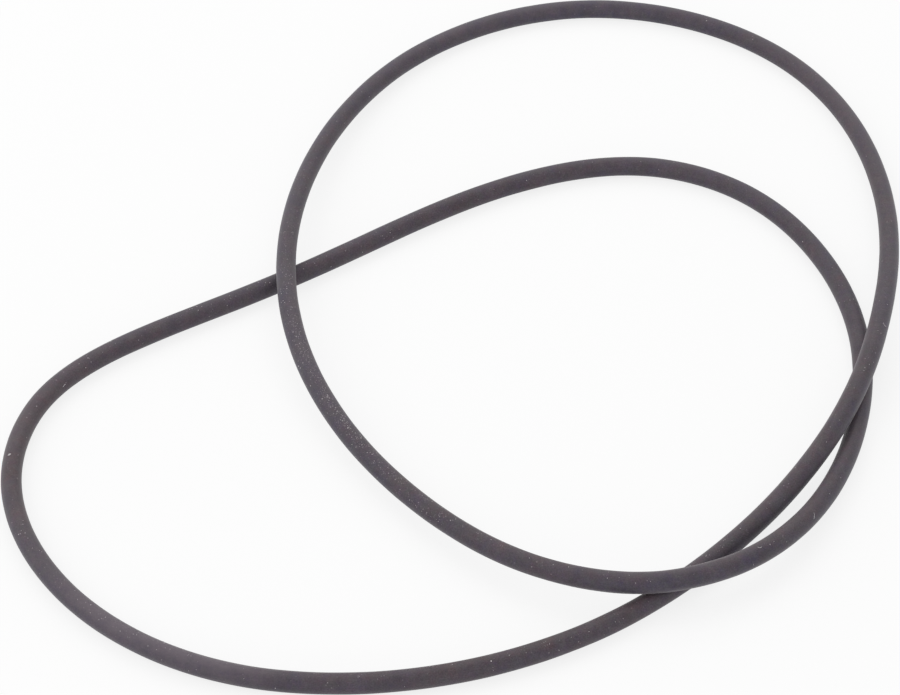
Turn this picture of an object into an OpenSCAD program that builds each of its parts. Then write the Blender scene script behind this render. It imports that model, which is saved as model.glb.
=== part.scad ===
// A rubber o-ring of round section that lies in two loops, as a large ring does when it is laid down small.
// It is one moulded piece. Its centreline is one closed curve: a smooth route in plan through points chosen
// by hand, lifted where the ring passes over itself. The section is carried along the curve and rolls one
// full turn on the way. A ring is moulded flat, so its mould line doesn't wind round its middle, and laid in
// two loops it can only keep that by rolling once. The floor is the plane Z = 0, and the origin is on it,
// under the middle of the ring as it lies.

/* [Ring] */
// Inside diameter of the ring when it is opened out to a circle
inner_d = 370; // [300:5:450]
// Diameter of the round section
section_d = 5; // [3.5:0.1:6]

/* [Mould line] */
// Width of the thin ridge that the two halves of the mould leave, at its foot
flash_w = 0.4; // [0.2:0.05:0.6]
// Height of that ridge above the round section
flash_h = 0.1; // [0.04:0.02:0.2]
// Angle of the ridges above the horizontal where the route begins
flash_start = 80; // [0:5:175]

/* [Lay] */
// Gap left between two strands at a crossing, should their ridges meet there
crossing_gap = 0.15; // [0.1:0.05:1]
// Longest run over which a lifted strand comes back down to the floor
lift_run = 125; // [80:5:150]
// Level stretch of an upper strand on either side of a crossing
level_run = 5; // [2:1:8]

/* [Fineness] */
// Cross-sections for each point of the route
rings_per_point = 5; // [3:1:6]
// Flat sides of the section between one ridge and the other
sides = 10; // [6:1:11]

/* [Hidden] */

// The route in plan, from the left end of the wide loop along its near side, before it is scaled to the
// ring's length
ROUTE = [
    [-109.75, -58.5],
    [-99.25, -86],
    [-79, -106.5],
    [-52, -118.5],
    [-22.5, -120.5],
    [6, -115.25],
    [33, -103],
    [56, -85],
    [76.25, -63.5],
    [92.5, -39],
    [102.5, -11.5],
    [108.5, 17.5],
    [109, 47],
    [102.5, 75.5],
    [87, 100],
    [62.5, 116],
    [33.5, 121],
    [5.5, 113.5],
    [-17.75, 96],
    [-33.75, 70.75],
    [-42.75, 43],
    [-46, 14],
    [-42.25, -15.5],
    [-30.5, -42.75],
    [-13, -66],
    [9.5, -85.75],
    [37, -95.5],
    [64.5, -88],
    [84.5, -66],
    [95.5, -38.5],
    [98.5, -9.5],
    [91.5, 19],
    [74.5, 43.25],
    [48, 54.75],
    [19, 50],
    [-7.5, 36.75],
    [-32, 20.25],
    [-56.25, 4.75],
    [-82, -10.25],
    [-103.75, -29.5]
];

// Where the ring crosses itself, as [upper strand, lower strand], counted in points along the route
CROSSINGS = [
    [9.5, 29.5],
    [21.1, 36.5],
    [26.3, 6.5]
];

points = len(ROUTE);
rings = points * rings_per_point;

// Full turns that the section rolls, from level towards up, on the way round
roll_turns = 1;

// The length of the ring's centreline, and the scale that gives the route that length
ring_length = PI * (inner_d + section_d);
path = [for (i = [0:rings]) plan(i / rings_per_point)];
route_scale = ring_length / sum_of([for (i = [1:rings]) norm(path[i] - path[i - 1])]);

// The part of that length that goes with each point of the route
point_run = ring_length / points;

// The middle of the box that the ring fills, which goes over the origin
function middle_of(v) = (min(v) + max(v)) / 2;
middle = route_scale * [for (k = [0, 1]) middle_of([for (p = path) p[k]])];

// Heights of the centreline: where the ring lies flat, and how much higher an upper strand is at a crossing
rest_z = section_d / 2 + flash_h;
lift = section_d + 2 * flash_h + crossing_gap;

// The sum of a list of numbers
function sum_of(v, i = 0, total = 0) = i == len(v) ? total : sum_of(v, i + 1, total + v[i]);

// A point of the route, counted round and round
function turning_point(i) = ROUTE[(i + points) % points];

// The corner that pulls the smooth curve through that point: the point, moved out by a sixth of its bend
function bend(i) = turning_point(i - 1) - 2 * turning_point(i) + turning_point(i + 1);
function pull(i) = turning_point(i) - bend(i) / 6;

// The smooth curve through the route's points, a closed cubic B-spline, at place u
function plan(u) =
    let (i = floor(u), t = u - i)
    ((1 - t) ^ 3 * pull(i - 1)
        + (3 * t ^ 3 - 6 * t ^ 2 + 4) * pull(i)
        + (-3 * t ^ 3 + 3 * t ^ 2 + 3 * t + 1) * pull(i + 1)
        + t ^ 3 * pull(i + 2)) / 6;

// The run from place a on to place b, and the shortest run from an upper strand to a place under another
function run(a, b) = ((b - a + 2 * points) % points) * point_run;
function run_after(a) = min([lift_run, for (c = CROSSINGS) run(a, c[1]) - level_run]);
function run_before(a) = min([lift_run, for (c = CROSSINGS) run(c[1], a) - level_run]);

// The form that a heavy flexible strand takes when one point of it is lifted, as a share of the lift, at
// share t of its run down to the floor
function hump(t) = t <= 0 ? 1 : t >= 1 ? 0 : (1 - t) ^ 3 * (1 + 3 * t);

// What the crossing at place a lifts the centreline at place u, and the height from all crossings together
function lifted(u, a) =
    lift * max(hump((run(a, u) - level_run) / run_after(a)), hump((run(u, a) - level_run) / run_before(a)));
function height(u) = rest_z + sum_of([for (c = CROSSINGS) lifted(u, c[0])]);

// The centreline in space at place u
function centre(u) =
    let (p = route_scale * plan(u) - middle)
    [p.x, p.y, height(u)];

// The section's outline, as [across, up]: two half circles, with a ridge before each
radius = section_d / 2;
half_foot = asin(flash_w / section_d);
function on_circle(a, r) = r * [cos(a), sin(a)];
outline = [
    for (side = [0, 180])
        each [
            on_circle(side - half_foot, radius),
            on_circle(side, radius + flash_h),
            for (k = [0:sides - 1]) on_circle(side + half_foot + (180 - 2 * half_foot) * k / sides, radius)
        ]
];

// The outline at place u: square to the centreline, with its across level, then rolled
function turned(q, a) = [q.x * cos(a) - q.y * sin(a), q.x * sin(a) + q.y * cos(a)];
function ring_at(u) =
    let (
        step = 0.5 / rings_per_point,
        ahead = centre(u + step) - centre(u - step),
        level = cross(ahead, [0, 0, 1]),
        across = level / norm(level),
        above = cross(across, ahead),
        up = above / norm(above),
        roll = flash_start + 360 * roll_turns * u / points
    )
    [for (q = outline) let (r = turned(q, roll)) centre(u) + across * r.x + up * r.y];

// The ring itself: the outline carried once round the centreline and closed on itself
module o_ring() {
    count = len(outline);
    skin = [for (i = [0:rings - 1]) each ring_at(i / rings_per_point)];
    faces = [
        for (i = [0:rings - 1], j = [0:count - 1])
            let (
                next_i = (i + 1) % rings,
                next_j = (j + 1) % count,
                a = i * count + j,
                b = i * count + next_j,
                c = next_i * count + next_j,
                d = next_i * count + j
            )
            each [[a, b, c], [a, c, d]]
    ];
    color("#585258") polyhedron(points = skin, faces = faces, convexity = 8);
}

o_ring();
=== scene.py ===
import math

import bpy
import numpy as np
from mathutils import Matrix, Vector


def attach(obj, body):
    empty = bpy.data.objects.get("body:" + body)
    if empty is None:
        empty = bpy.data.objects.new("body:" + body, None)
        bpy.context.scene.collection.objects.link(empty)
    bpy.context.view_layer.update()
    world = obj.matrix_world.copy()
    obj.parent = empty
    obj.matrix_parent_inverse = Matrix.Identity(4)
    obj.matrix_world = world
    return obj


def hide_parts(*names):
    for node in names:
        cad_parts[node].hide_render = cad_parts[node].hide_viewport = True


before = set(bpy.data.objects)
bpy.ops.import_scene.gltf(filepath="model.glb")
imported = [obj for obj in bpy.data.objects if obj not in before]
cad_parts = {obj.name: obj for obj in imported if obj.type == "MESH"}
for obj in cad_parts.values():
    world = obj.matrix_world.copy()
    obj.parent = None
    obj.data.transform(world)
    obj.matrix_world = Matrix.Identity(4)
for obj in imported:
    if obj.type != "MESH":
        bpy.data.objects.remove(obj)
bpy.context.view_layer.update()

# A rubber o-ring that lies in two loops on a pale floor. The ring is one closed sweep: a route in plan
# through points measured in a photograph, lifted over the lower strand at three crossings, with a round
# section whose mould line rolls once round on the way. Dust grains and lint lie on it, each set on the
# ring's own surface.

MM = 0.001

# The ring's sizes in millimetres, as in the part's source: its inside diameter when it is opened out, its
# section, its mould line, and the runs over which a lifted strand comes down and stays level
INNER_D = 370
SECTION = 5
FLASH_W = 0.4
FLASH_H = 0.1
LIFT_RUN = 125
LEVEL_RUN = 5

# The angle in degrees at which the mould line begins, and the turns that it makes on the way round
FLASH_START = 80
ROLL_TURNS = 1

# Strands that cross lie apart by the mould line's height and this much more. They look as if they touch, and
# the two surfaces stay clear of each other
TOUCH_GAP = 0.02

# The route in plan, counter-clockwise from the left end of the wide loop, to be scaled to the ring's length.
# Another script worked these points out from a photograph. They were rounded to half a millimetre, and some
# were then moved by up to three quarters of one, by what was measured
ROUTE = np.array([
    (-109.75, -58.5), (-99.25, -86), (-79, -106.5), (-52, -118.5), (-22.5, -120.5),
    (6, -115.25), (33, -103), (56, -85), (76.25, -63.5), (92.5, -39),
    (102.5, -11.5), (108.5, 17.5), (109, 47), (102.5, 75.5), (87, 100),
    (62.5, 116), (33.5, 121), (5.5, 113.5), (-17.75, 96), (-33.75, 70.75),
    (-42.75, 43), (-46, 14), (-42.25, -15.5), (-30.5, -42.75), (-13, -66),
    (9.5, -85.75), (37, -95.5), (64.5, -88), (84.5, -66), (95.5, -38.5),
    (98.5, -9.5), (91.5, 19), (74.5, 43.25), (48, 54.75), (19, 50),
    (-7.5, 36.75), (-32, 20.25), (-56.25, 4.75), (-82, -10.25), (-103.75, -29.5),
])

# Where the ring crosses itself, as (upper strand, lower strand), counted in points along the route
CROSSINGS = [(9.5, 29.5), (21.1, 36.5), (26.3, 6.5)]

POINTS = len(ROUTE)
RING_LENGTH = math.pi * (INNER_D + SECTION)
POINT_RUN = RING_LENGTH / POINTS
RADIUS = SECTION / 2

# Each point is moved out by a sixth of its bend, so that the smooth curve runs through the point itself
PULLS = ROUTE - (np.roll(ROUTE, 1, 0) - 2 * ROUTE + np.roll(ROUTE, -1, 0)) / 6


def raw_plan(u):
    """The closed cubic B-spline through the route's points, at places u counted in points."""
    i = np.floor(u).astype(int)
    t = (u - i)[..., None]
    before, here, after, beyond = (PULLS[(i + k) % POINTS] for k in (-1, 0, 1, 2))
    return ((1 - t) ** 3 * before + (3 * t ** 3 - 6 * t ** 2 + 4) * here
            + (-3 * t ** 3 + 3 * t ** 2 + 3 * t + 1) * after + t ** 3 * beyond) / 6


# The route's scale, which gives it the ring's length, and the middle of its box, which goes over the origin.
# Both are measured at as many places for each point as in the part's source
PLACES_PER_POINT = 5
measured = raw_plan(np.linspace(0, POINTS, POINTS * PLACES_PER_POINT + 1))
ROUTE_SCALE = RING_LENGTH / np.linalg.norm(np.diff(measured, axis=0), axis=1).sum()
MIDDLE = ROUTE_SCALE * (measured.min(0) + measured.max(0)) / 2

REST_Z = RADIUS + FLASH_H
LIFT = SECTION + FLASH_H + TOUCH_GAP


def run(a, b):
    """The length of ring from place a on to place b, in millimetres."""
    return ((b - a + 2 * POINTS) % POINTS) * POINT_RUN


def hump(t):
    """The form of a heavy strand lifted at one point: (1 - t) cubed times (1 + 3t), level at both ends."""
    t = np.clip(t, 0, 1)
    return (1 - t) ** 3 * (1 + 3 * t)


def height(u):
    """The height of the ring's middle: its height at rest, and a hump over each crossing."""
    z = np.full(np.shape(u), float(REST_Z))
    for upper, _ in CROSSINGS:
        after = min([LIFT_RUN] + [run(upper, lower) - LEVEL_RUN for _, lower in CROSSINGS])
        before = min([LIFT_RUN] + [run(lower, upper) - LEVEL_RUN for _, lower in CROSSINGS])
        ahead_of = hump((run(upper, u) - LEVEL_RUN) / after)
        behind = hump((run(u, upper) - LEVEL_RUN) / before)
        z = z + LIFT * np.maximum(ahead_of, behind)
    return z


def centre(u):
    """The ring's middle line in space, in millimetres."""
    return np.concatenate([ROUTE_SCALE * raw_plan(u) - MIDDLE, height(u)[..., None]], -1)


def unit(v):
    """Vectors of length one."""
    return v / np.linalg.norm(v, axis=-1, keepdims=True)


# How far ahead and behind the ring's direction is taken, counted in points along the route
LOOK_AHEAD = 0.02


def axes_on_ring(u, angle):
    """The directions ahead, sideways and outwards on the ring's surface: at place u, at an angle in degrees
    from level on the right-hand side of travel towards up."""
    ahead = unit(centre(u + LOOK_AHEAD) - centre(u - LOOK_AHEAD))
    across = unit(np.cross(ahead, (0, 0, 1)))
    up = np.cross(across, ahead)
    a = np.radians(angle)[..., None]
    return ahead, np.cos(a) * up - np.sin(a) * across, np.cos(a) * across + np.sin(a) * up


def on_ring(u, angle, out):
    """Points at place u and the given angle, out from the ring's middle line in millimetres."""
    return centre(u) + np.asarray(out)[..., None] * axes_on_ring(u, angle)[2]


def roll(u):
    """The angle of the mould line at place u, which grows evenly on the way round."""
    return FLASH_START + 360 * ROLL_TURNS * u / POINTS


def waves(u, angle, rng, count, shortest, longest, most_round):
    """A sum of even waves that close on themselves along the ring and round its section. Their lengths along
    the ring lie between the shortest and longest given in millimetres, there are at most so many of each
    round the section, and the sum is usually between -1 and 1."""
    total = 0
    for _ in range(count):
        along = round(RING_LENGTH / rng.uniform(shortest, longest))
        round_section = rng.integers(-most_round, most_round + 1)
        start = rng.uniform(0, 2 * math.pi)
        total = total + np.cos(2 * math.pi * along * u / POINTS + round_section * np.radians(angle) + start)
    return total / math.sqrt(2 * count)


def make_mesh(name, points, faces):
    """A smooth mesh object at the origin from points in millimetres, and its faces."""
    mesh = bpy.data.meshes.new(name)
    mesh.from_pydata((np.asarray(points) * MM).reshape(-1, 3).tolist(), [], faces)
    mesh.polygons.foreach_set("use_smooth", np.ones(len(mesh.polygons), bool))
    mesh.update()
    piece = bpy.data.objects.new(name, mesh)
    bpy.context.scene.collection.objects.link(piece)
    return piece


def grid_faces(rows, columns, closed_rows):
    """The four-sided faces of a grid of points. It closes from its last column to its first, and from its
    last row to its first if asked."""
    i, j = np.meshgrid(np.arange(rows if closed_rows else rows - 1), np.arange(columns), indexing="ij")
    a = i * columns + j
    b = i * columns + (j + 1) % columns
    c = (i + 1) % rows * columns + (j + 1) % columns
    d = (i + 1) % rows * columns + j
    return np.stack([a, d, c, b], -1).reshape(-1, 4)


def copies(parts, count, points_each):
    """The faces of many copies of one small shape, whose own faces are given in parts. Each copy's points
    come after those of the copy before."""
    first = (np.arange(count) * points_each)[:, None, None]
    faces = []
    for part in parts:
        faces += (part + first).reshape(-1, part.shape[1]).tolist()
    return faces


# How the surface changes along the ring. Each row is a place, then how brown the cast is (0 is violet, 1 is
# brown), how thick the bloom is (1 is a thin film), how much fine dust lies there (1 is the most) and how
# plainly the mould line stands out, in its height and in its painted highlight (1 is in full). The cast
# follows values that another script worked out from a photograph's colours. The rest was set in rounds, by
# what scripts measured in it and in the render
ALONG = np.array([
    (0, 0.8, 0.2, 0.06, 0), (1, 0.53, 1.1, 0.15, 0), (1.9, 0.51, 3.3, 0.2, 0), (2.9, 0.53, 2.8, 0.08, 0),
    (3.4, 0.59, 0.6, 0.08, 0), (5, 0.67, 0, 0.12, 0), (6.2, 0.67, 0.2, 0.2, 0.1),
    (7.3, 0.6, 0, 0.14, 0.3), (8.5, 0.64, 0, 0.07, 0.6), (9.5, 0.61, 0, 0.06, 1),
    (10.5, 0.5, 0.4, 0.07, 0.3),
    (11.7, 0.59, 0.1, 0.01, 0), (13.3, 0.51, 0.9, 0.01, 0), (14.5, 0.48, 0.5, 0.01, 0),
    (15.8, 0.28, 0.8, 0.03, 0), (17, 0.36, 1.4, 0.03, 0), (18.5, 0.49, 0.5, 0.05, 0),
    (19.5, 0.5, 0, 0.08, 0), (21, 0.49, 0.4, 0.25, 0), (22.3, 0.46, 1.2, 1, 0), (23, 0.48, 0.4, 0.9, 0),
    (24.2, 0.59, 0, 0.5, 0), (25.2, 0.65, 0.3, 0.14, 0.5), (26.3, 0.5, 0.4, 0.03, 1),
    (27.2, 0.58, 0, 0.06, 0.8), (28.5, 0.58, 0, 0.03, 0.2), (30, 0.55, 0.2, 0.02, 0),
    (31.3, 0.46, 0, 0.01, 0), (32.5, 0.5, 0.5, 0.02, 0), (34.7, 0.53, 0.1, 0.1, 0),
    (36.5, 0.46, 0.4, 0.18, 0), (38, 0.5, 0.4, 0.16, 0), (39.5, 0.81, 1, 0.08, 0),
])
WARMTH, BLOOM, FINE_DUST, MOULD_LINE_AND_HIGHLIGHT = 1, 2, 3, 4


def along_ring(column, u):
    """One column of ALONG at places u, carried straight from each row to the next and round the ring."""
    return np.interp(u, ALONG[:, 0], ALONG[:, column], period=POINTS)


# How finely the ring is drawn: sections along it, and points round half a section, in degrees from the mould
# line, closest where they cross it. The other half repeats them
SECTIONS = 1600
ACROSS_THE_LINE = (-8, -4.6, -3, -1.5, 0, 1.5, 3, 4.6)
BETWEEN_THE_LINES = np.linspace(8, 172, 15)[:-1]
HALF_ROUND = np.concatenate([ACROSS_THE_LINE, BETWEEN_THE_LINES])
ROUND = np.concatenate([HALF_ROUND, HALF_ROUND + 180])
HALF_FOOT = math.degrees(math.asin(FLASH_W / SECTION))

# The mould line's height as a share of its full height: where it is trimmed, how much more where it stands
# out, how unevenly it was trimmed, and the least
TRIMMED = 0.12
STANDS_OUT = 0.75
UNEVEN_TRIM = 0.1
LEAST_TRIM = 0.04

# How far the section swells and thins, in millimetres
SWELL = 0.018

# The angle at which most has settled on the ring, just over its top, and the angle of the painted warm cast
# of the light, where the ring is painted browner
SETTLED_ANGLE = 100
PAINTED_WARM_LIGHT_ANGLE = 125

# The bloom and the fine dust on the other sides, as a share of the most, the powers of the cosine by which
# they fall off to it, and how much less brown the sides away from the painted warm cast of the light are
BLOOM_ELSEWHERE = 0.3
DUST_ELSEWHERE = 0.15
BLOOM_POWER = 1.5
DUST_POWER = 4
PAINTED_WARM_LIGHT_FALLOFF = 0.22

# The ring's surface is unrolled into this many strips, one above the other, with a margin at their ends and
# on their sides, as shares of their length and width
STRIPS = 8
END_MARGIN = 0.01
SIDE_MARGIN = 0.03


def add_values(piece, name, values):
    """Gives each of a piece's points a number that its material can read by name."""
    attribute = piece.data.attributes.new(name, "FLOAT", "POINT")
    attribute.data.foreach_set("value", np.asarray(values, np.float32).ravel())


def unroll(ring):
    """The ring's own UV map: U runs along a strip of the ring, V once round its section, and the strips are
    stacked with a thin gap, so that a texel is about as long as it is wide."""
    i, j = np.meshgrid(np.arange(SECTIONS), np.arange(len(ROUND)), indexing="ij")
    strip, step = np.divmod(i, SECTIONS // STRIPS)
    start = (ROUND - ROUND[0]) / 360
    end = np.append(start[1:], 1)
    one_step = (1 - 2 * END_MARGIN) / (SECTIONS // STRIPS)
    low = END_MARGIN + one_step * step
    high = low + one_step
    near = (strip + SIDE_MARGIN + (1 - 2 * SIDE_MARGIN) * start[j]) / STRIPS
    far = (strip + SIDE_MARGIN + (1 - 2 * SIDE_MARGIN) * end[j]) / STRIPS
    corners = np.stack([np.stack([low, high, high, low], -1), np.stack([near, near, far, far], -1)], -1)
    ring.data.uv_layers.new(name="OFBake").data.foreach_set("uv", corners.astype(np.float32).ravel())


def make_ring():
    """The ring as one closed sweep. The section is a circle with a ridge on both sides, whose height is a
    raised cosine over the ridge's foot. It swells and thins by a few hundredths of a millimetre on the way,
    and the ridge is trimmed low, save where it stands out. From the side where most has settled, the bloom
    and the fine dust fall off as powers of the cosine of the angle, down to a share that lies all round. The
    cast is browner towards one side just past the top, a painted warm cast of the light there, which falls
    off as the cosine too. The mould line gets a share for its paler colour and painted highlight."""
    rng = np.random.default_rng(11)
    u = np.arange(SECTIONS)[:, None] * POINTS / SECTIONS
    from_ridge = (ROUND + 90) % 180 - 90
    ridge = np.where(abs(from_ridge) < HALF_FOOT, 0.5 + 0.5 * np.cos(np.pi * from_ridge / HALF_FOOT), 0)
    uneven = waves(u, 0, rng, count=12, shortest=4, longest=30, most_round=0)
    trim = TRIMMED + STANDS_OUT * along_ring(MOULD_LINE_AND_HIGHLIGHT, u) + UNEVEN_TRIM * uneven
    swell = SWELL * waves(u, ROUND, rng, count=14, shortest=12, longest=60, most_round=3)
    out = RADIUS + swell + FLASH_H * np.clip(trim, LEAST_TRIM, 1) * ridge
    angle = ROUND + roll(u)
    points = on_ring(np.broadcast_to(u, out.shape), angle, out)
    ring = make_mesh("ring", points, grid_faces(SECTIONS, len(ROUND), True).tolist())
    unroll(ring)

    settled = np.clip(np.cos(np.radians(angle - SETTLED_ANGLE)), 0, 1)
    painted_warm_light = np.clip(np.cos(np.radians(angle - PAINTED_WARM_LIGHT_ANGLE)), 0, 1)
    bloom = BLOOM_ELSEWHERE + (1 - BLOOM_ELSEWHERE) * settled ** BLOOM_POWER
    fine_dust = DUST_ELSEWHERE + (1 - DUST_ELSEWHERE) * settled ** DUST_POWER
    # The cast: the ring's own colour along its length, made less brown away from a painted warm cast of the
    # light on its upper side
    add_values(ring, "cast_and_painted_warm_light", along_ring(WARMTH, u) - PAINTED_WARM_LIGHT_FALLOFF * (1 - painted_warm_light))
    add_values(ring, "bloom", along_ring(BLOOM, u) * bloom)
    add_values(ring, "fine_dust", along_ring(FINE_DUST, u) * fine_dust)
    # Where the material paints the mould line paler, partly as a painted highlight
    add_values(ring, "mould_line_and_painted_highlight", along_ring(MOULD_LINE_AND_HIGHLIGHT, u) * ridge)
    return ring


# The larger dust grains: place, angle, length and width in millimetres, and turn in degrees from the ring's
# run. About 30 are bright points that another script found in a photograph. Most of the rest were found in
# it one by one, and their places and angles were worked out from them
GRAINS = np.array([
    (0.54, 107, 0.17, 0.14, 0), (0.64, 75, 0.17, 0.15, 0), (0.85, 82, 0.19, 0.15, 30),
    (0.9, 109, 0.17, 0.14, 0), (1.64, 102, 0.34, 0.18, 10), (1.79, 60, 0.17, 0.14, 0),
    (1.82, 90, 0.22, 0.17, 40), (2, 65, 0.18, 0.16, 0), (2.08, 57, 0.17, 0.15, 0),
    (2.13, 93, 0.2, 0.16, 20), (2.34, 60, 0.18, 0.15, 0), (2.63, 8, 0.16, 0.14, 0),
    (2.69, 29, 0.16, 0.14, 0), (3.06, 39, 0.17, 0.15, 0), (3.3, 7, 0.2, 0.2, 0),
    (3.69, 55, 0.19, 0.16, 0), (3.93, 88, 0.2, 0.16, 60), (4.12, 85, 0.18, 0.14, 0),
    (4.27, 15, 0.17, 0.17, 0), (4.96, 74, 0.36, 0.3, 30), (4.96, 23, 0.17, 0.14, 0),
    (5.11, 80, 0.2, 0.18, 0), (5.44, 75, 0.2, 0.15, 80), (5.62, 69, 0.17, 0.14, 0),
    (5.77, 61, 0.22, 0.18, 20), (6, 51, 0.17, 0.15, 0), (6.6, 39, 0.28, 0.2, 0),
    (7.4, 100, 0.32, 0.24, 45), (7.7, 79, 0.17, 0.13, 0), (8.54, 68, 0.17, 0.15, 0),
    (8.79, 75, 0.17, 0.15, 0), (9.38, 81, 0.22, 0.17, 0), (9.47, 65, 0.18, 0.14, 0),
    (9.88, 80, 0.18, 0.15, 0), (10.23, 64, 0.2, 0.16, 0), (14.81, 111, 0.24, 0.22, 0),
    (18.59, 157, 0.19, 0.16, 0), (19.34, 104, 0.17, 0.15, 0), (19.39, 86, 0.17, 0.13, 0),
    (21.11, 99, 0.2, 0.16, 0), (21.23, 60, 0.18, 0.14, 0), (21.62, 64, 0.2, 0.16, 0),
    (21.77, 71, 0.18, 0.15, 0), (21.88, 110, 0.2, 0.15, 0), (22.05, 136, 0.22, 0.16, 0),
    (22.2, 98, 0.18, 0.15, 0), (22.3, 25, 0.34, 0.26, 50), (22.33, 31, 0.3, 0.24, 120),
    (22.55, 40, 0.26, 0.22, 0), (23.1, 92, 0.2, 0.14, 30), (23.12, 82, 0.32, 0.22, 70),
    (23.17, 56, 0.22, 0.16, 0), (23.18, 68, 0.18, 0.16, 40), (23.2, 100, 0.26, 0.14, 100),
    (24.11, 34, 0.17, 0.15, 0), (24.35, 60, 0.2, 0.17, 0), (24.36, 34, 0.18, 0.15, 0),
    (24.83, 95, 0.19, 0.17, 0), (25.19, 80, 0.18, 0.15, 0), (25.51, 95, 0.22, 0.15, 0),
    (25.83, 66, 0.2, 0.14, 90), (26, 94, 0.19, 0.17, 0), (26.05, 48, 0.24, 0.18, 0),
    (27.02, 12, 0.17, 0.15, 0), (27.27, 73, 0.18, 0.13, 0), (28.02, 58, 0.17, 0.15, 0),
    (30.36, 93, 0.17, 0.14, 0), (31.21, 145, 0.42, 0.2, 5), (31.34, 87, 0.17, 0.14, 0),
    (31.48, 86, 0.16, 0.14, 0), (32.88, 149, 0.2, 0.15, 0), (35.84, 172, 0.19, 0.15, 0),
    (36.17, 171, 0.18, 0.15, 0), (36.17, 98, 0.17, 0.13, 0), (37.2, 144, 0.22, 0.15, 0),
    (37.38, 168, 0.16, 0.13, 0), (38.88, 96, 0.19, 0.15, 0), (39.79, 124, 0.2, 0.14, 0),
    (39.8, 76, 0.95, 0.6, -48),
])

# The smaller grains: a stretch's first and last place, how many lie there, their usual angle and how far
# they spread from it, and their usual size in millimetres
DUSTY_STRETCHES = np.array([
    (0, 1, 1, 90, 36, 0.11), (1.3, 2.6, 14, 98, 20, 0.09), (2.5, 5, 10, 102, 16, 0.09),
    (5, 7, 11, 86, 34, 0.11), (7, 8, 5, 100, 20, 0.11), (8, 11, 9, 88, 36, 0.11),
    (11, 18, 3, 88, 40, 0.1), (18, 21.4, 9, 88, 36, 0.11), (21.4, 22.2, 17, 84, 34, 0.11),
    (22.1, 22.7, 50, 96, 11, 0.095), (22.7, 23.4, 86, 92, 13, 0.11), (22.2, 23.6, 36, 62, 30, 0.09),
    (23.4, 24, 18, 88, 24, 0.11), (23.5, 25.3, 20, 110, 8, 0.1), (23.8, 24.4, 22, 36, 8, 0.11),
    (25, 26, 7, 90, 34, 0.11), (26, 27.2, 4, 90, 34, 0.11), (27.2, 28.6, 5, 88, 34, 0.11),
    (28.6, 31, 7, 90, 34, 0.11), (31, 34, 3, 95, 36, 0.11), (34, 36, 15, 122, 18, 0.11),
    (36, 39, 17, 100, 34, 0.11), (39, 40, 5, 92, 34, 0.11),
])

# The smaller grains: the spread of their sizes' logarithm, their least and greatest length in millimetres,
# their least width as a share of it, and the lowest angle at which they lie on the ring's sides
SIZE_SPREAD = 0.5
SMALLEST_GRAIN = 0.05
LARGEST_SMALL_GRAIN = 0.22
NARROWEST = 0.7
LOWEST_ANGLE = 2

# A grain's form: the heights and turns of its grid in degrees, how far its points lie from its middle where
# a smooth ball has 1, and its thickness as a share of its width
BALL_HEIGHTS = (-50, 0, 50)
BALL_TURNS = np.arange(0, 360, 60)
HOLLOWS = 0.82
LUMPS = 1.12
GRAIN_THICKNESS = 0.8


def make_dust():
    """Pale grains, mostly on the ring's upper side. Each is a lumpy ball of two dozen faces: a unit ball on
    a small grid of heights and turns, stretched, with its lower half sunk into the rubber."""
    rng = np.random.default_rng(7)
    counts = DUSTY_STRETCHES[:, 2].astype(int)
    first, last, _, middle, spread, usual = np.repeat(DUSTY_STRETCHES, counts, axis=0).T
    place = rng.uniform(first, last)
    angle = np.clip(rng.normal(middle, spread), LOWEST_ANGLE, 180 - LOWEST_ANGLE)
    uneven = np.exp(SIZE_SPREAD * rng.standard_normal(len(place)))
    size = np.clip(usual * uneven, SMALLEST_GRAIN, LARGEST_SMALL_GRAIN)
    width = size * rng.uniform(NARROWEST, 1, len(place))
    small = np.column_stack([place, angle, size, width, rng.uniform(0, 180, len(place))])
    u, angle, long, wide, turn = np.concatenate([GRAINS, small]).T
    ahead, side, outward = axes_on_ring(u, angle)

    level, around = np.meshgrid(np.radians(BALL_HEIGHTS), np.radians(BALL_TURNS), indexing="ij")
    ball = np.stack([np.cos(level) * np.cos(around), np.cos(level) * np.sin(around), np.sin(level)], -1)
    ball = np.concatenate([ball.reshape(-1, 3), [(0, 0, -1), (0, 0, 1)]])
    lumpy = rng.uniform(HOLLOWS, LUMPS, (len(u), len(ball), 1)) * ball
    t = np.radians(turn)[:, None]
    x = lumpy[..., 0] * long[:, None] / 2
    y = lumpy[..., 1] * wide[:, None] / 2
    z = lumpy[..., 2] * wide[:, None] * GRAIN_THICKNESS / 2
    along = x * np.cos(t) - y * np.sin(t)
    sideways = x * np.sin(t) + y * np.cos(t)
    points = (on_ring(u, angle, np.full(len(u), RADIUS))[:, None] + along[..., None] * ahead[:, None]
              + sideways[..., None] * side[:, None] + z[..., None] * outward[:, None])

    # A ball's faces: its walls, and triangles to its two ends, which come after its grid, the low one first
    rows, columns = level.shape
    walls = grid_faces(rows, columns, False)[:, ::-1]
    k = np.arange(columns)
    next_k = (k + 1) % columns
    low_end = np.full(columns, rows * columns)
    low_cap = np.stack([low_end, next_k, k], -1)
    top_row = (rows - 1) * columns
    high_cap = np.stack([low_end + 1, top_row + k, top_row + next_k], -1)
    return make_mesh("dust", points, copies([walls, low_cap, high_cap], len(u), len(ball)))


# Lint on the ring: place, angle, length in millimetres, turn from the ring's run, and bend from end to end
LINT = np.array([
    (9.98, 53, 1.2, 67, 8), (27.13, 84, 1.1, -30, 70), (27.74, 44, 1.7, 42, 60), (38.86, 150, 1.2, 8, 10),
])

# A fibre's thickness and how far its ends are raised, in millimetres, the share of its thickness that it
# loses at its ends, and the grid of its tube
LINT_THICKNESS = 0.09
LINT_RAISED = 0.125
LINT_TAPER = 0.6
LINT_SECTIONS = 17
LINT_TURNS = np.arange(0, 360, 60)


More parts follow.
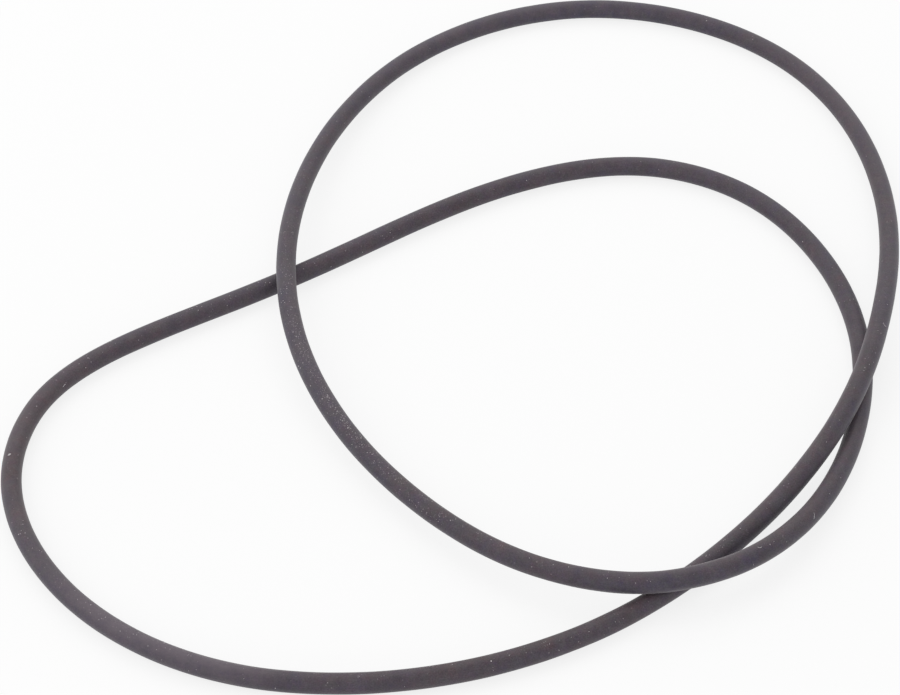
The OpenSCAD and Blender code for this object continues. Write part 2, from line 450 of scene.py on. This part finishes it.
def make_lint():
    """Short fibres on the ring: each is a thin tube along an arc that turns evenly from end to end and lies
    round the ring's surface, its ends a little raised and tapered."""
    u, angle, long, turn, bend = LINT.T
    t = np.linspace(-0.5, 0.5, LINT_SECTIONS)
    heading = np.radians(turn[:, None] + bend[:, None] * t)
    step = long[:, None] / (LINT_SECTIONS - 1)
    along = np.cumsum(np.cos(heading) * step, 1)
    sideways = np.cumsum(np.sin(heading) * step, 1)
    along -= along.mean(1, keepdims=True)
    sideways -= sideways.mean(1, keepdims=True)
    place = u[:, None] + along / POINT_RUN
    towards = angle[:, None] + np.degrees(sideways / RADIUS)
    out = np.broadcast_to(RADIUS + LINT_THICKNESS / 2 + LINT_RAISED * (2 * t) ** 2, place.shape)
    path = on_ring(place, towards, out)

    ahead = unit(np.gradient(path, axis=1))
    side = unit(np.cross(ahead, axes_on_ring(place, towards)[2]))
    outward = np.cross(side, ahead)
    a = np.radians(LINT_TURNS)
    thick = LINT_THICKNESS / 2 * (1 - LINT_TAPER * (2 * t) ** 4)
    circle = np.cos(a)[:, None] * side[:, :, None] + np.sin(a)[:, None] * outward[:, :, None]
    points = path[:, :, None] + thick[:, None, None] * circle

    # A fibre's faces: the walls of its tube, and a cap at each end
    walls = grid_faces(LINT_SECTIONS, len(a), False)
    near_cap = np.arange(len(a))[None]
    far_cap = (LINT_SECTIONS - 1) * len(a) + near_cap[:, ::-1]
    return make_mesh("lint", points, copies([walls, near_cap, far_cap], len(u), LINT_SECTIONS * len(a)))


def add(tree, kind, inputs=None, **settings):
    """Adds one node to a tree, sets it up, and gives each input a value or a link from another node."""
    made = tree.nodes.new(kind)
    for name, value in settings.items():
        setattr(made, name, value)
    for name, value in (inputs or {}).items():
        if isinstance(value, bpy.types.NodeSocket):
            tree.links.new(value, made.inputs[name])
        else:
            made.inputs[name].default_value = value
    return made


def linear(hex_colour):
    """The linear colour, with full alpha, of an sRGB colour written in hex."""
    srgb = np.array([int(hex_colour[k:k + 2], 16) for k in (1, 3, 5)]) / 255
    lin = np.where(srgb <= 0.04045, srgb / 12.92, ((srgb + 0.055) / 1.055) ** 2.4)
    return (*lin.tolist(), 1.0)


def per(size):
    """The scale of a pattern whose features are the given number of millimetres apart."""
    return 1 / (size * MM)


def new_material(name):
    """An empty material with an output, as its tree and the output's surface socket."""
    material = bpy.data.materials.new(name)
    material.use_nodes = True
    material.node_tree.nodes.clear()
    output = add(material.node_tree, "ShaderNodeOutputMaterial")
    return material, material.node_tree, output.inputs["Surface"]


WHITE = linear("#ffffff")

# A noise pattern's values lie mostly between these two, which a Map Range node spreads over another range
USUAL_NOISE = {"From Min": 0.3, "From Max": 0.7}

# The two colour inputs of a Mix node and its colour output, which share their names with other sockets
UNDER, OVER, MIXED = 6, 7, 2


def make_rubber():
    """Nitrile rubber filled with carbon black, as it left its mould: a charcoal with a violet cast, browner
    at the left end of the wide loop, with a painted warm cast of the light on its upper side, dull and
    faintly grainy, with a lilac bloom in places, a soft sheen at the rims, the mould line a shade paler with
    a painted highlight along it, and fine dust."""
    material, tree, surface = new_material("nitrile_rubber_moulded")
    place = add(tree, "ShaderNodeTexCoord").outputs["Object"]

    # The cast turns from violet to brown along the ring, in uneven patches, and over its top, where the
    # brown is a painted warm cast of the light
    patches = add(tree, "ShaderNodeTexNoise",
                  {"Vector": place, "Scale": per(6), "Detail": 4, "Roughness": 0.8})
    uneven = add(tree, "ShaderNodeMapRange",
                 {"Value": patches.outputs["Fac"], **USUAL_NOISE, "To Min": -0.28, "To Max": 0.28})
    cast_and_painted_warm_light = add(tree, "ShaderNodeAttribute", attribute_name="cast_and_painted_warm_light")
    brown = add(tree, "ShaderNodeMath", {0: cast_and_painted_warm_light.outputs["Fac"], 1: uneven.outputs[0]}, operation="ADD")
    body = add(tree, "ShaderNodeMix", {
        "Factor": brown.outputs[0], UNDER: linear("#3f3c4b"), OVER: linear("#4e4041")}, data_type="RGBA")

    # Mottling a few millimetres across, in shade and in strength of colour
    mottle = add(tree, "ShaderNodeTexNoise",
                 {"Vector": place, "Scale": per(5), "Detail": 3, "Roughness": 0.75})
    mottled = add(tree, "ShaderNodeMapRange",
                  {"Value": mottle.outputs["Fac"], **USUAL_NOISE, "To Min": 0.72, "To Max": 1.16})
    rich = add(tree, "ShaderNodeTexNoise",
               {"Vector": place, "Scale": per(2.2), "Detail": 4, "Roughness": 0.8})
    richness = add(tree, "ShaderNodeMapRange",
                   {"Value": rich.outputs["Fac"], **USUAL_NOISE, "To Min": 0.4, "To Max": 1.6})

    # The grain that the mould gave it, which is really finer and is drawn as coarse as it needs to show
    grain = add(tree, "ShaderNodeTexNoise", {"Vector": place, "Scale": per(0.34), "Detail": 1})
    grained = add(tree, "ShaderNodeMapRange",
                  {"Value": grain.outputs["Fac"], **USUAL_NOISE, "To Min": 0.79, "To Max": 1.21})
    shade = add(tree, "ShaderNodeMath",
                {0: mottled.outputs[0], 1: grained.outputs[0]}, operation="MULTIPLY")
    shaded = add(tree, "ShaderNodeHueSaturation", {
        "Color": body.outputs[MIXED], "Saturation": richness.outputs[0], "Value": shade.outputs[0]})

    # The bloom: a thin lilac film, cloudy like the patches, that hides some of the grain
    bloom = add(tree, "ShaderNodeAttribute", attribute_name="bloom")
    cloudy = add(tree, "ShaderNodeMapRange",
                 {"Value": patches.outputs["Fac"], **USUAL_NOISE, "To Min": 0.16, "To Max": 0.34})
    film = add(tree, "ShaderNodeMath",
               {0: bloom.outputs["Fac"], 1: cloudy.outputs[0]}, operation="MULTIPLY")
    bloomed = add(tree, "ShaderNodeMix", {
        "Factor": film.outputs[0], UNDER: shaded.outputs[0], OVER: linear("#645b63")}, data_type="RGBA")

    # The mould line, paler where the rubber was pulled thin, with a painted highlight along it
    line = add(tree, "ShaderNodeAttribute", attribute_name="mould_line_and_painted_highlight")
    line_and_highlight_share = add(tree, "ShaderNodeMath", {0: line.outputs["Fac"], 1: 0.85}, operation="MULTIPLY")
    with_line_and_highlight = add(tree, "ShaderNodeMix", {
        "Factor": line_and_highlight_share.outputs[0], UNDER: bloomed.outputs[MIXED], OVER: linear("#968c92"),
    }, data_type="RGBA")

    # Fine dust in small drifts: each cell of the pattern holds a speck or none, and few specks are bright.
    # Real ones are finer, and these are drawn as coarse as they need to show
    dusty = add(tree, "ShaderNodeAttribute", attribute_name="fine_dust")
    drifts = add(tree, "ShaderNodeTexNoise", {"Vector": place, "Scale": per(1.8), "Detail": 2})
    drifted = add(tree, "ShaderNodeMapRange",
                  {"Value": drifts.outputs["Fac"], "From Min": 0.4, "From Max": 0.6})
    cover = add(tree, "ShaderNodeMath",
                {0: dusty.outputs["Fac"], 1: drifted.outputs[0]}, operation="MULTIPLY")
    cells = add(tree, "ShaderNodeTexVoronoi", {"Vector": place, "Scale": per(0.4)})
    near = add(tree, "ShaderNodeMapRange",
               {"Value": cells.outputs["Distance"], "From Min": 0.45, "From Max": 0.15})
    chance = add(tree, "ShaderNodeSeparateColor", {"Color": cells.outputs["Color"]})
    chosen = add(tree, "ShaderNodeMath", {0: chance.outputs[0], 1: cover.outputs[0]}, operation="LESS_THAN")
    rarely = add(tree, "ShaderNodeMath", {0: chance.outputs[1], 1: 3}, operation="POWER")
    bright = add(tree, "ShaderNodeMapRange", {"Value": rarely.outputs[0], "To Min": 0.16, "To Max": 1})
    specks = add(tree, "ShaderNodeMath", {0: near.outputs[0], 1: chosen.outputs[0]}, operation="MULTIPLY")
    speck_share = add(tree, "ShaderNodeMath",
                      {0: specks.outputs[0], 1: bright.outputs[0]}, operation="MULTIPLY")
    dusted = add(tree, "ShaderNodeMix", {
        "Factor": speck_share.outputs[0], UNDER: with_line_and_highlight.outputs[MIXED], OVER: linear("#b5adb1"),
    }, data_type="RGBA")

    # Its finish: dull, a little smoother where the mottling is darker, with the grain as a fine bump
    rough = add(tree, "ShaderNodeMapRange",
                {"Value": mottle.outputs["Fac"], **USUAL_NOISE, "To Min": 0.5, "To Max": 0.62})
    bump = add(tree, "ShaderNodeBump",
               {"Strength": 0.35, "Distance": 0.03 * MM, "Height": grain.outputs["Fac"]})
    rubber = add(tree, "ShaderNodeBsdfPrincipled", {
        "Base Color": dusted.outputs[MIXED],
        "Roughness": rough.outputs[0],
        "Normal": bump.outputs[0],
        "IOR": 1.5,
        "Specular IOR Level": 0.28,
        "Sheen Weight": 0.2,
        "Sheen Roughness": 0.5,
    })
    tree.links.new(rubber.outputs[0], surface)
    return material


def make_pale(name, hex_colour):
    """A dull pale finish with a cloudy cast, for what has settled on the ring."""
    material, tree, surface = new_material(name)
    place = add(tree, "ShaderNodeTexCoord").outputs["Object"]
    clouds = add(tree, "ShaderNodeTexNoise", {"Vector": place, "Scale": per(4), "Detail": 1})
    value = add(tree, "ShaderNodeMapRange",
                {"Value": clouds.outputs["Fac"], **USUAL_NOISE, "To Min": 0.75, "To Max": 1.05})
    shade = add(tree, "ShaderNodeHueSaturation", {"Color": linear(hex_colour), "Value": value.outputs[0]})
    pale = add(tree, "ShaderNodeBsdfPrincipled", {"Base Color": shade.outputs[0], "Roughness": 0.9})
    tree.links.new(pale.outputs[0], surface)
    return material


def looked_at(tree):
    """A socket that is one where the camera, a reflection or a view through something clear looks, and
    nought for all other light."""
    path = add(tree, "ShaderNodeLightPath")
    seen = add(tree, "ShaderNodeMath",
               {0: path.outputs["Is Camera Ray"], 1: path.outputs["Is Glossy Ray"]}, operation="MAXIMUM")
    either = add(tree, "ShaderNodeMath",
                 {0: seen.outputs[0], 1: path.outputs["Is Transmission Ray"]}, operation="MAXIMUM")
    return either.outputs[0]


# How far the floor fades towards plain white where it is looked at
FLOOR_FADE = 0.8


def make_floor_finish():
    """Matt white card, which fades towards plain white where the camera or a reflection looks at it, and
    still shows the ring's soft shadow."""
    material, tree, surface = new_material("white_card_matt")
    card = add(tree, "ShaderNodeBsdfDiffuse", {"Color": linear("#f4f4f4")})
    glow = add(tree, "ShaderNodeEmission", {"Color": WHITE, "Strength": 1})
    share = add(tree, "ShaderNodeMath", {0: looked_at(tree), 1: FLOOR_FADE}, operation="MULTIPLY")
    mixed = add(tree, "ShaderNodeMixShader", {0: share.outputs[0], 1: card.outputs[0], 2: glow.outputs[0]})
    tree.links.new(mixed.outputs[0], surface)
    return material


ring = make_ring()
ring.data.materials.append(make_rubber())
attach(ring, "root")
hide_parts("o_ring")

# Mineral dust: dull specks, almost white against the rubber
dust = make_dust()
dust.data.materials.append(make_pale("mineral_dust", "#d6d0d2"))
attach(dust, "root")

# Cotton lint: thin pale hairs that hardly stand out from the rubber
lint = make_lint()
lint.data.materials.append(make_pale("cotton_lint", "#d2ccd0"))
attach(lint, "root")

# The floor, three metres each way from the ring's middle
FLOOR_REACH = 3000
floor_corners = FLOOR_REACH * np.array([(-1, -1, 0), (1, -1, 0), (1, 1, 0), (-1, 1, 0)])
floor = make_mesh("floor", floor_corners, [(0, 1, 2, 3)])
floor.data.materials.append(make_floor_finish())

# The strength of the light from all round
WORLD_LIGHT = 0.63


def make_world():
    """A world that lights the ring evenly from all round, and is plain white where it is looked at."""
    world = bpy.data.worlds.new("studio")
    world.use_nodes = True
    tree = world.node_tree
    tree.nodes.clear()
    sky = add(tree, "ShaderNodeBackground", {"Color": WHITE, "Strength": WORLD_LIGHT})
    white = add(tree, "ShaderNodeBackground", {"Color": WHITE, "Strength": 1})
    backdrop = add(tree, "ShaderNodeMixShader", {0: looked_at(tree), 1: sky.outputs[0], 2: white.outputs[0]})
    add(tree, "ShaderNodeOutputWorld", {"Surface": backdrop.outputs[0]})
    return world


def add_lamp(name, place, width, depth, watts):
    """A soft box lamp that faces the ring: its place and size in metres, and its power."""
    lamp = bpy.data.lights.new(name, "AREA")
    lamp.shape = "RECTANGLE"
    lamp.size = width
    lamp.size_y = depth
    lamp.energy = watts
    holder = bpy.data.objects.new(name, lamp)
    holder.location = place
    holder.rotation_euler = (-Vector(place)).to_track_quat("-Z", "Y").to_euler()
    bpy.context.scene.collection.objects.link(holder)


bpy.context.scene.world = make_world()

# A lamp behind for the sheen along the ring's top, one at the left, and a low one in front for its near side
add_lamp("lamp_behind", (0, 0.9, 1.1), 1.6, 1.0, 6.3)
add_lamp("lamp_left", (-1.1, 0, 0.9), 1.0, 1.2, 5.5)
add_lamp("lamp_front", (0, -1.2, 0.35), 2.0, 0.5, 3)

# The camera's place and lens in millimetres, and its angle above level in degrees. It looks along +Y
CAMERA_PLACE = (-4.1, -565.27, 554.41)
SENSOR_WIDTH = 36
LENS = 124.76
CAMERA_ANGLE = 45


def add_camera():
    """A camera that looks down at the ring from the front."""
    camera = bpy.data.cameras.new("camera")
    camera.sensor_width = SENSOR_WIDTH
    camera.lens = LENS
    camera.clip_start = 0.01
    holder = bpy.data.objects.new("camera", camera)
    holder.location = [MM * distance for distance in CAMERA_PLACE]
    holder.rotation_euler = (math.radians(90 - CAMERA_ANGLE), 0, 0)
    bpy.context.scene.collection.objects.link(holder)
    return holder


bpy.context.scene.camera = add_camera()
bpy.context.scene.view_settings.view_transform = "Standard"
